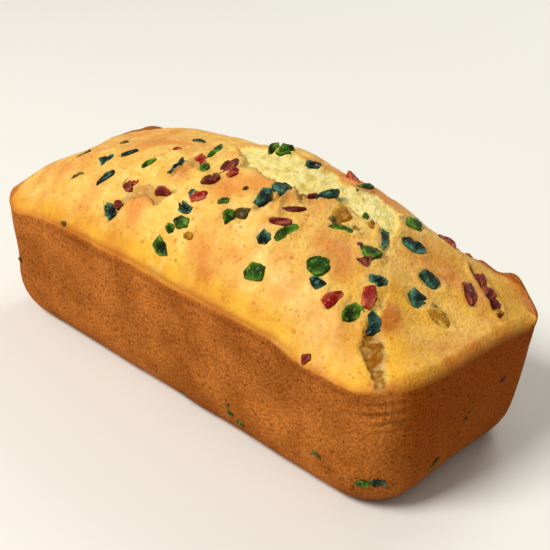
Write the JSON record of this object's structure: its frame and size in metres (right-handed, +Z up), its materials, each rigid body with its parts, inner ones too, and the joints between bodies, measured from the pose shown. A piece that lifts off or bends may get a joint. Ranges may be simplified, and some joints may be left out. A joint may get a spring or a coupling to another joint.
{
  "type": "fruit cake loaf",
  "caption": "Uncut loaf-shaped fruit cake with a golden domed top, torn open along its crest, and glossy candied fruit set in the crust.",
  "frame": {"origin": "middle of the flat base, where the loaf rests on a table", "axes": "+X along the loaf towards its lower end, +Y across it away from the torn near corner, +Z up through the crest"},
  "size_m": [0.2, 0.0923, 0.0851],
  "materials": {
    "crust": "matte",
    "candied_green": "glossy",
    "candied_blue_green": "glossy",
    "candied_red": "glossy",
    "candied_dark_red": "glossy",
    "candied_amber": "glossy",
    "candied_olive": "glossy"
  },
  "bodies": {
    "root": {"fruit_cake_loaf": "crust"}
  },
  "joints": []
}
